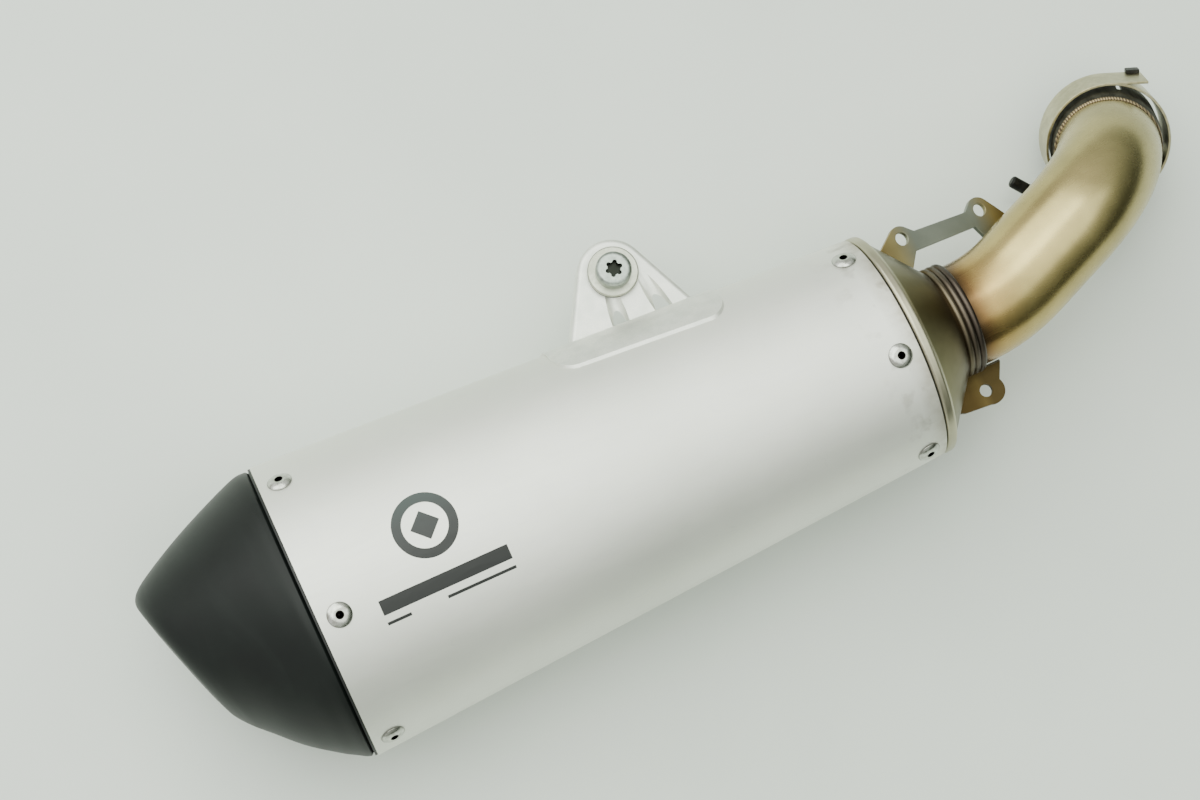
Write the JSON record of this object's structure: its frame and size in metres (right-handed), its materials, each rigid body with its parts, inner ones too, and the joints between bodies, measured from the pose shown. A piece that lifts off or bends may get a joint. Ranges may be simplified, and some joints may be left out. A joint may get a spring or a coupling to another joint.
{
  "type": "exhaust muffler",
  "caption": "Oval tapered exhaust muffler with a conical end cap, a bent inlet pipe with a band clamp, and a bolted rubber-mounted hanger.",
  "frame": {"origin": "on the hanger bolt's axis, at the seat that meets the motorcycle's frame lug", "axes": "+X along the can's axis from the tail to the inlet, +Y from the can to the hanger, +Z out of the can's outer face; the hanger bolt's free end points along -Z"},
  "size_m": [0.5445, 0.1704, 0.1309],
  "materials": {
    "brushed_aluminium": "fine brushed, clear satin",
    "satin_aluminium": "pressed and bead blasted",
    "black_coating": "satin black high-temperature coating on aluminium",
    "gasket": "black high-temperature sealant",
    "rivet_steel": "stainless blind rivet",
    "stainless": "mill finish stainless",
    "heat_tinted_steel": "stainless, straw and bronze heat tint",
    "clamp_steel": "stainless strip",
    "weld_metal": "weld bead",
    "steel_wool": "stainless wool mat",
    "glass_wool": "glass fibre packing",
    "zinc_steel": "zinc plated",
    "dark_steel": "black oxide",
    "black_rubber": "moulded rubber"
  },
  "bodies": {
    "muffler": {"sleeve": "brushed_aluminium", "end_cap": "black_coating", "tail_gasket": "gasket", "rear_rivets": "rivet_steel", "front_rivets": "rivet_steel", "perforated_core": "stainless", "steel_wool_wrap": "steel_wool", "packing_wool": "glass_wool", "tail_plate": "stainless", "outlet_tube": "stainless", "front_cap": "heat_tinted_steel", "front_gasket": "gasket", "collar": "heat_tinted_steel", "inlet_pipe": "heat_tinted_steel", "inlet_socket": "stainless", "socket_weld": "weld_metal", "hanger_bracket": "satin_aluminium", "hanger_grommet": "black_rubber", "hanger_sleeve": "zinc_steel", "hanger_rear_washer": "zinc_steel", "shield_bracket": "stainless", "lower_tab": "heat_tinted_steel"},
    "clamp": {"clamp_band": "clamp_steel", "clamp_bridge": "clamp_steel", "clamp_nut": "dark_steel", "clamp_lug": "dark_steel"},
    "clamp_bolt": {"clamp_bolt": "dark_steel"},
    "hanger_bolt": {"hanger_bolt": "zinc_steel"}
  },
  "joints": [
    {"name": "clamp_turn", "type": "hinge", "parent": "muffler", "child": "clamp", "pos_m": [0.25897, -0.02539, -0.04301], "axis": [0.3504, 0.4155, -0.8394], "range_deg": [-60, 60]},
    {"name": "clamp_bolt_spin", "type": "hinge", "parent": "clamp", "child": "clamp_bolt", "pos_m": [0.22601, -0.04934, -0.05319], "axis": [-0.6354, 0.7426, 0.2116], "continuous": true},
    {"name": "hanger_bolt_spin", "type": "hinge", "parent": "muffler", "child": "hanger_bolt", "pos_m": [0, 0, 0], "axis": [0, 0, 1], "continuous": true}
  ]
}
